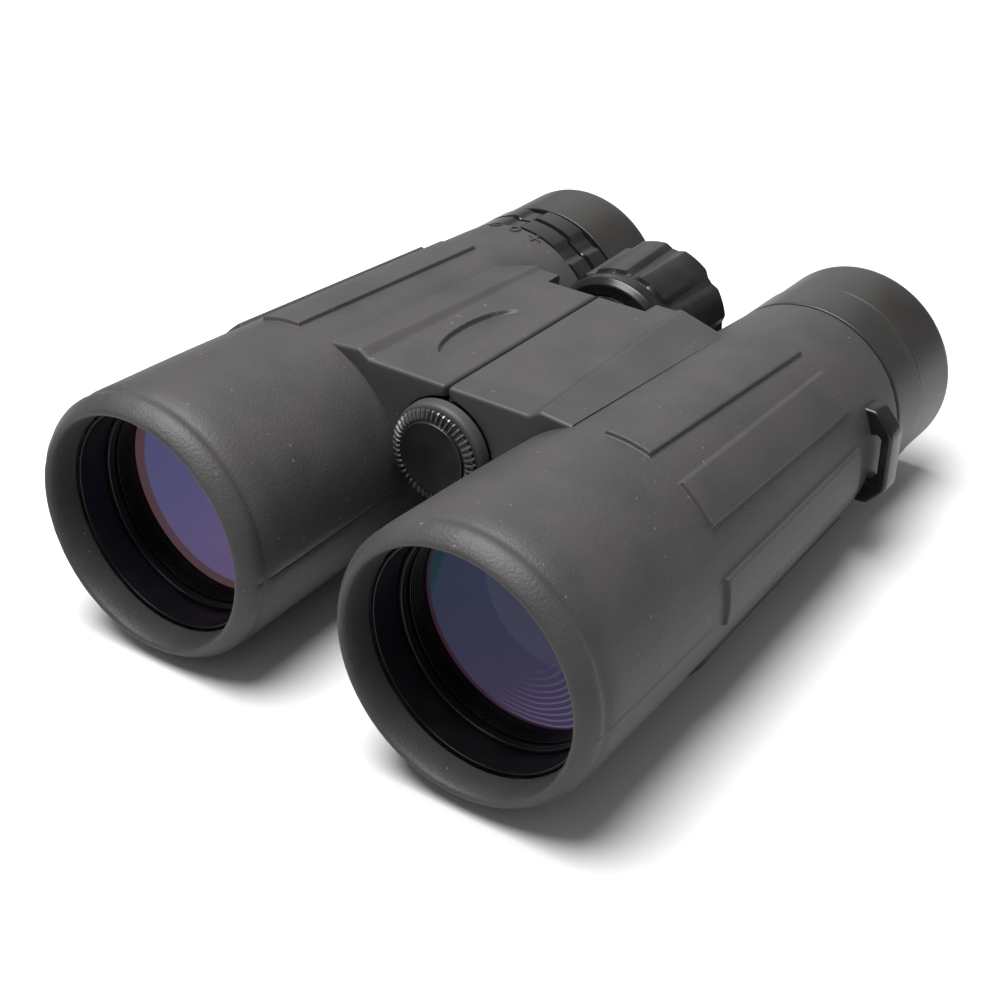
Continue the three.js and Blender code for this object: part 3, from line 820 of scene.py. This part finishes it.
eyepieceSizes = {
    "cupRadius": 21.2, "cupEdge": 1.5, "cupBore": 19.2, "hollow": 15.2, "hollowDepth": 1.7, "hollowEdge": 1.0,
    "sleeve": [(18.1, 126, 0.1), (18.9, 126, 0.2), (18.9, 146), (15.4, 146, 0.2), (15.4, 144.6, 0.2),
               (18.1, 144.6)],
    "tube": [(13.8, 116.6), (15.7, 116.6), (15.7, 143, 0.3), (14.6, 143, 0.2), (14.4, 142.2, 0.2),
             (13.4, 142.2, 0.2), (13.2, 142.8, 0.2), (12.6, 142.8, 0.2), (12.6, 141.3), (13.8, 141.3)],
    "lens": {"radius": 13.5, "apex": 132.5, "edge": 135.5, "backEdge": 138.6, "backApex": 141},
    "ringRadius": 21.5, "ringBore": 19.3, "neck": 17.2, "web": 2,   # web: thickness of a ring's wall on the neck
}


def eyepiece(side, axis):
    size = eyepieceSizes
    front, back = station(f"{side}_eyecup_rubber", "front"), station(f"{side}_eyecup_rubber", "back")
    floor = back - size["hollowDepth"]
    cup = lathe(f"{side}Eyecup", [
        (size["cupBore"], front, 0.2), (size["cupRadius"], front, 0.3), (size["cupRadius"], back, size["cupEdge"]),
        (size["hollow"], back, size["hollowEdge"]), (size["hollow"] - 0.1, floor, 0.3), (size["cupBore"], floor),
    ], axis, finish["cup"], 160)
    settle(cup, f"{side}_eyecup", "cup_rubber", f"{side}_eyecup_rubber")
    sleeve = lathe(f"{side}EyecupSleeve", size["sleeve"], axis, finish["anodised"])
    settle(sleeve, f"{side}_eyecup", "black_anodised", f"{side}_eyecup_sleeve")
    tube = lathe(f"{side}OcularTube", size["tube"], axis, finish["anodised"])
    settle(tube, f"{side}_barrel", "black_anodised", f"{side}_ocular_tube")
    # the eye lens shows its coating's painted reflection as glow
    glass = lathe(f"{side}EyeLens", domeCorners(**size["lens"]), axis,
                  paintedReflectionGlass(f"{side} eye lens painted reflection", reflectionPaintLook["eye"], axis), 96)
    settle(glass, f"{side}_barrel", "coated_glass", f"{side}_eye_lens")


for side in sides:
    eyepiece(side, axes[side])


def baseRing():
    size = eyepieceSizes
    front, back = station("left_base_ring", "front"), station("left_base_ring", "back")
    ring = lathe("baseRing", [
        (size["neck"], front), (size["ringRadius"], front, 0.5), (size["ringRadius"], back, 0.4),
        (size["ringBore"], back, 0.2), (size["ringBore"], front + size["web"]), (size["neck"], front + size["web"]),
    ], leftAxis, finish["ring"], 160)
    settle(ring, "left_barrel", "dark_plastic", "left_base_ring")


baseRing()


# angles are in degrees
dioptreSizes = {
    "valley": 20.5, "height": 1.0, "lands": 9, "halfLand": 12.5, "flank": 4.0, "groove": (125.1, 126.0),
    "grooveFloor": 19.9, "edge": 0.15, "phase": -14.0,
}


# evenly divided straight outlines, so that the lands have mesh to rise from
def divided(corners, step):
    outline = []
    for here, there in zip(corners, corners[1:] + corners[:1]):
        count = max(1, round((Vector(there[:2]) - Vector(here[:2])).length / step))
        for i in range(count):
            outline.append(tuple(Vector(here[:2]).lerp(Vector(there[:2]), i / count)))
    return outline


def dioptreRing():
    size = dioptreSizes
    front, back = station("right_dioptre_ring", "front"), station("right_dioptre_ring", "back")
    valley, floor = size["valley"], size["grooveFloor"]
    first, second = size["groove"]
    bore, neck, web = eyepieceSizes["ringBore"], eyepieceSizes["neck"], front + eyepieceSizes["web"]
    corners = [(neck, front), (valley, front), (valley, first), (floor, first), (floor, second), (valley, second),
               (valley, back), (bore, back), (bore, web), (neck, web)]
    halfWidth = math.radians(size["halfLand"] + size["flank"])
    ring = lathe("dioptreRing", divided(corners, 0.3), rightAxis, finish["satin"], 360)
    for low, high in ((front, first), (second, back)):
        useTree(ring, raiseLands, {
            "Lands": size["lands"], "Height": size["height"] * mm,
            "Half width": halfWidth, "Half width at back": halfWidth,
            "Flank": math.radians(size["flank"]), "Phase": math.radians(size["phase"]),
            "Front": (low - 0.02) * mm, "Back": (high + 0.02) * mm, "End flank": size["edge"] * mm,
            "Least radius": (valley - 0.1) * mm, "Axis": (rightAxis.x, frontY, rightAxis.z),
            "Material": finish["satin"],
        })
    settle(bakeTree(ring, 25), "dioptre_ring", "dark_plastic", "right_dioptre_ring")


dioptreRing()
print("eyepieces made")


# fills flat outlines, inner ones as holes, and gives them depth both ways with rounded edges
def flatMesh(name, outlines, depth, roundOff):
    data = bpy.data.curves.new(name, "CURVE")
    data.dimensions, data.fill_mode = "2D", "BOTH"
    data.extrude, data.bevel_resolution = depth * mm, 3
    data.bevel_depth, data.offset = roundOff * mm, -roundOff * mm
    for outline in outlines:
        line = data.splines.new("POLY")
        line.points.add(len(outline) - 1)
        for point, (x, y) in zip(line.points, outline):
            point.co = (x * mm, y * mm, 0, 1)
        line.use_cyclic_u = True
    flat = bpy.data.objects.new(name, data)
    bpy.context.scene.collection.objects.link(flat)
    bpy.context.view_layer.update()
    mesh = bpy.data.meshes.new_from_object(flat.evaluated_get(bpy.context.evaluated_depsgraph_get()))
    bpy.data.objects.remove(flat)
    return mesh


# small raised signs beside the dioptre ring, drawn flat as (across, along) and then wrapped on the barrel
markSizes = {
    "station": 117.6, "size": 1.5, "stroke": 0.24, "height": 0.22, "depth": 0.5, "roundOff": 0.07,
    "degrees": {"plus": 16.0, "zero": 2.0, "minus": -12.0},
}


def markStrokes(kind):
    reach, half = markSizes["size"], markSizes["stroke"]
    across = [(-reach, -half), (reach, -half), (reach, half), (-reach, half)]
    if kind == "minus":
        return [across]
    if kind == "plus":
        return [[(-reach, -half), (-half, -half), (-half, -reach), (half, -reach), (half, -half), (reach, -half),
                 (reach, half), (half, half), (half, reach), (-half, reach), (-half, half), (-reach, half)]]
    turns = [2 * math.pi * i / 28 for i in range(28)]
    return [[(math.cos(turn) * reach * 0.8 * scale, math.sin(turn) * reach * scale) for turn in turns]
            for scale in (1, 1 - 2 * half / reach)]


def dioptreMarks():
    size = markSizes
    for kind, degrees in size["degrees"].items():
        mesh = flatMesh(f"{kind}Mark", markStrokes(kind), size["depth"], size["roundOff"])
        middle = math.radians(degrees)
        for vertex in mesh.vertices:
            x, y, z = vertex.co
            along = y / mm + size["station"]
            radius = armourRadius(along) + size["height"] - size["depth"] + z / mm
            angle = middle + x / mm / radius
            vertex.co = (rightAxis.x + math.sin(angle) * radius * mm, frontY + along * mm,
                         rightAxis.z + math.cos(angle) * radius * mm)
        mesh.flip_normals()
        piece = newObject(f"{kind}Mark", closed(mesh), finish["bridge"], 35)
        settle(piece, "right_barrel", "armour_rubber")


# angles are in degrees
knobSizes = {
    "valley": 14.1, "valleyBack": 14.55, "height": 0.8, "lands": 9, "halfLand": 13.0, "halfLandBack": 11.0,
    "flank": 6.0, "phase": 12.0, "landFront": 106.6, "edge": 0.12, "bow": 0.5, "bore": 10.9,
    "skirt": 14.35, "chamfer": 1.2, "skirtOverlap": 0.25, "cap": 10.6, "dish": 6.5, "dishDepth": 0.45,
    "bushBore": 2.7, "bushNeck": 4.2, "bush": 10.4, "bushStep": 96.9,
}


def focusKnob():
    size = knobSizes
    front, back = station("knob_grip", "front"), station("knob_grip", "back")
    corners = [(size["bore"], front), (size["valley"], front), (size["valleyBack"], back - 0.5),
               (size["valleyBack"] - 0.5, back), (size["bore"], back)]
    grip = lathe("knobGrip", divided(corners, 0.35), hingeAxis, finish["satin"], 360)
    useTree(grip, raiseLands, {
        "Lands": size["lands"], "Height": size["height"] * mm,
        "Half width": math.radians(size["halfLand"] + size["flank"]),
        "Half width at back": math.radians(size["halfLandBack"] + size["flank"]),
        "Flank": math.radians(size["flank"]), "Phase": math.radians(size["phase"]),
        "Front": size["landFront"] * mm, "Back": (back + 0.3) * mm, "End flank": size["edge"] * mm,
        "Bow": size["bow"] * mm, "Least radius": (size["valley"] - 0.6) * mm,
        "Axis": (hingeAxis.x, frontY, hingeAxis.z), "Material": finish["satin"],
    })
    settle(bakeTree(grip, 25), "focus_knob", "dark_plastic", "knob_grip")
    front, back = station("knob_skirt", "front"), station("knob_skirt", "back") + size["skirtOverlap"]
    skirt = lathe("knobSkirt", [
        (size["bore"], front, 0.2), (size["skirt"] - size["chamfer"], front, 0.25),
        (size["skirt"], front + size["chamfer"], 0.25), (size["skirt"], back, 0.1), (size["bore"], back),
    ], hingeAxis, finish["gloss"])
    settle(skirt, "focus_knob", "gloss_black", "knob_skirt")
    front, back = station("knob_cap", "front"), station("knob_cap", "back")
    cap = lathe("knobCap", [
        (axisRadius, front), (size["cap"], front), (size["cap"], back, 0.25), (size["dish"], back - 0.05, 0.3),
        (size["dish"] - 0.5, back - size["dishDepth"], 0.3), (axisRadius, back - size["dishDepth"]),
    ], hingeAxis, finish["gloss"])
    settle(cap, "focus_knob", "dark_plastic", "knob_cap")
    front, back = station("focus_bush", "front"), station("focus_bush", "back")
    bush = lathe("focusBush", [
        (size["bushBore"], front), (size["bushNeck"], front), (size["bushNeck"], size["bushStep"]),
        (size["bush"], size["bushStep"], 0.2), (size["bush"], back, 0.3), (size["bushBore"], back),
    ], hingeAxis, finish["anodised"])
    settle(bush, "left_barrel", "black_anodised", "focus_bush")


dioptreMarks()
focusKnob()


capSizes = {
    "face": 7.2, "faceEdge": 0.2, "coneFront": 42.15, "coneBack": 43.0, "coneInner": 7.55, "coneOuter": 9.25,
    "teeth": 48, "toothWidth": 0.62, "toothHeight": 0.42, "stub": 3.0,
    # from the bore's mouth round the collar to the blind end; the collar's front corners follow the node
    "socketMouth": [(3.3, 44.3), (8.4, 44.3, 0.1)],
    "socketStem": [(10.4, 46.2, 0.2), (4.2, 46.2), (4.2, 60), (axisRadius, 60), (axisRadius, 58), (3.3, 58)],
}


# one knurl tooth on the cap's cone, at the top of the ring, its pivot on the axis at the origin
def toothMesh(name):
    size = capSizes
    half, height = size["toothWidth"] / 2, size["toothHeight"]
    front, back = size["coneFront"] - 0.1, size["coneBack"]
    inner, outer = size["coneInner"] - 0.05, size["coneOuter"]
    points = []
    crest = height * 0.55
    line = ((inner, front + 0.25), (inner + 0.5, front), (outer + 0.05, back - 0.45), (outer + 0.25, back))
    for radius, y in line:
        for across, lift in ((-half, -0.35), (-half * 0.45, crest), (half * 0.45, crest), (half, -0.35)):
            points.append((across * mm, (y - lift * 0.75) * mm, (radius + lift * 0.35) * mm))
    return meshFrom(name, points, gridFaces(4, 4, joined=False) + [(0, 1, 2, 3), (12, 13, 14, 15)])


def tripodCap():
    size = capSizes
    face, back = station("tripod_cap", "front"), station("tripod_cap", "back")
    cap = lathe("tripodCap", [
        (axisRadius, face), (size["face"], face, size["faceEdge"]), (size["face"] + 0.12, face + 0.55, 0.05),
        (size["coneInner"], size["coneFront"] + 0.2), (size["coneOuter"], size["coneBack"] - 0.2, 0.1),
        (size["coneOuter"], size["coneBack"] + 0.02), (size["stub"], size["coneBack"] + 0.02), (size["stub"], back),
        (axisRadius, back),
    ], hingeAxis, finish["satin"])
    settle(cap, "tripod_cap", "dark_plastic", "tripod_cap")
    knurl = newObject("tripodCapKnurl", toothMesh("tripodCapKnurl"), finish["satin"])
    useTree(knurl, repeatPiece, {
        "Copies": size["teeth"], "Turn": 2 * math.pi / size["teeth"], "Shift": 0.0,
        "Pivot": (hingeAxis.x, frontY, hingeAxis.z), "Material": finish["knurl"],
    })
    settle(bakeTree(knurl, 30), "tripod_cap", "dark_plastic")
    front = station("tripod_socket", "front")
    collar = [(8.5, front, 0.3), (10.2, front + 0.2, 0.9)]
    socket = lathe("tripodSocket", size["socketMouth"] + collar + size["socketStem"], hingeAxis, finish["bridge"])
    settle(socket, "left_barrel", "black_anodised", "tripod_socket")


tripodCap()
print("knob and tripod cap made")


lugSizes = {
    "front": 108.6, "back": 113.6, "half": 10.4, "shoulder": 21.0, "out": 26.0, "barHalf": 6.3, "seat": 20.4,
    "slot": (21.2, 23.6, -5.4, 5.2), "slotCorner": 0.7, "round": 0.7, "corner": 1.3,
}


def strapLug(side):
    size = lugSizes
    half, bar, out, seat, corner = size["half"], size["barHalf"], size["out"], size["seat"], size["corner"]
    shoulder = size["shoulder"] + 1.2
    outline = filleted([(seat, -half), (shoulder, -half, corner), (out, -bar, corner), (out, bar, corner),
                        (shoulder, half, corner), (seat, half)])[1:-1]
    reach = math.asin(half / seat)
    angles = [reach - reach * 2 * i / 12 for i in range(13)]
    outline = [tuple(point) for point in outline]
    outline += [(seat * math.cos(angle), seat * math.sin(angle)) for angle in angles]
    low, high, bottom, top = size["slot"]
    corner = size["slotCorner"]
    slot = [(low + corner, bottom), (high - corner, bottom), (high, bottom + corner), (high, top - corner),
            (high - corner, top), (low + corner, top), (low, top - corner), (low, bottom + corner)]
    depth = (size["back"] - size["front"]) / 2
    mesh = flatMesh(f"{side}StrapLug", (outline, slot), depth - size["round"], size["round"])
    mesh.transform(Matrix(((sides[side], 0, 0, axes[side].x), (0, 0, 1, frontY + (size["front"] + depth) * mm),
                           (0, 1, 0, leftAxis.z), (0, 0, 0, 1))))
    piece = newObject(f"{side}StrapLug", closed(mesh), finish["gloss"], 35)
    settle(piece, f"{side}_barrel", "gloss_black", f"{side}_strap_lug")


for side in sides:
    strapLug(side)
print("strap lugs made")


stageLook = {
    "floor": colour(0.62, 0.62, 0.62), "floorLight": colour(0.64, 0.64, 0.64),
    "floorSize": 3.0, "lean": 2.7, "leanFrom": 46.0, "leanHeight": 0.85, "world": 0.30,
    "azimuth": 35.25, "elevation": 30.87, "roll": 1.1, "lens": 66.84, "distance": 0.3702,
    "aim": (-0.0010, -0.0083, -0.0104),
    # name, place relative to the object, size, power
    "lights": [("overhead", (-0.10, -0.13, 0.72), 0.62, 14.0), ("backdrop", (-0.50, 1.20, 0.55), 1.0, 1.5)],
}


def floorFinish():
    def build(web):
        cloud = noise(web, objectPlace(web), 0.4, 2.0)
        base = mixed(web, cloud, stageLook["floor"], stageLook["floorLight"])
        return {"Base Color": base, "Roughness": 0.85, "Specular IOR Level": 0.2}
    return principled("pale floor", build)


# the floor leans a few degrees, because the tapered barrels rest along their undersides
def makeFloor():
    half = stageLook["floorSize"]
    slope = math.tan(math.radians(stageLook["lean"]))
    pivotY, pivotZ = frontY + stageLook["leanFrom"] * mm, stageLook["leanHeight"] * mm
    corners = ((-half, -half), (half, -half), (half, half), (-half, half))
    points = [(x, y, pivotZ + (y - pivotY) * slope) for x, y in corners]
    mesh = bpy.data.meshes.new("floor")
    mesh.from_pydata(points, [], [(0, 1, 2, 3)])
    floor = bpy.data.objects.new("floor", mesh)
    mesh.materials.append(floorFinish())
    bpy.context.scene.collection.objects.link(floor)


def makeLights():
    centre = (cadLow + cadHigh) / 2
    for name, place, size, power in stageLook["lights"]:
        data = bpy.data.lights.new(name, "AREA")
        data.shape, data.size, data.energy = "DISK", size, power
        lamp = bpy.data.objects.new(name, data)
        lamp.location = centre + Vector(place)
        lamp.rotation_euler = (-Vector(place)).to_track_quat("-Z", "Y").to_euler()
        bpy.context.scene.collection.objects.link(lamp)
    world = bpy.data.worlds.new("studio")
    world.use_nodes = True
    background = world.node_tree.nodes["Background"]
    background.inputs["Color"].default_value = colour(1, 1, 1)
    background.inputs["Strength"].default_value = stageLook["world"]
    bpy.context.scene.world = world


def makeCamera():
    centre = (cadLow + cadHigh) / 2
    azimuth, elevation = math.radians(stageLook["azimuth"]), math.radians(stageLook["elevation"])
    level = math.cos(elevation)
    back = Vector((math.sin(azimuth) * level, -math.cos(azimuth) * level, math.sin(elevation)))
    right = Vector((0, 0, 1)).cross(back).normalized()
    up = back.cross(right)
    roll = math.radians(stageLook["roll"])
    tilted = right * math.cos(roll) + up * math.sin(roll)
    upright = back.cross(tilted)
    data = bpy.data.cameras.new("camera")
    data.lens, data.sensor_width, data.clip_start = stageLook["lens"], 36, 0.01
    camera = bpy.data.objects.new("camera", data)
    spot = centre + Vector(stageLook["aim"]) + back * stageLook["distance"]
    camera.matrix_world = Matrix.Translation(spot) @ Matrix((tilted, upright, back)).transposed().to_4x4()
    bpy.context.scene.collection.objects.link(camera)
    bpy.context.scene.camera = camera


makeFloor()
makeLights()
makeCamera()
bpy.context.scene.view_settings.view_transform = "Standard"
print("stage made")
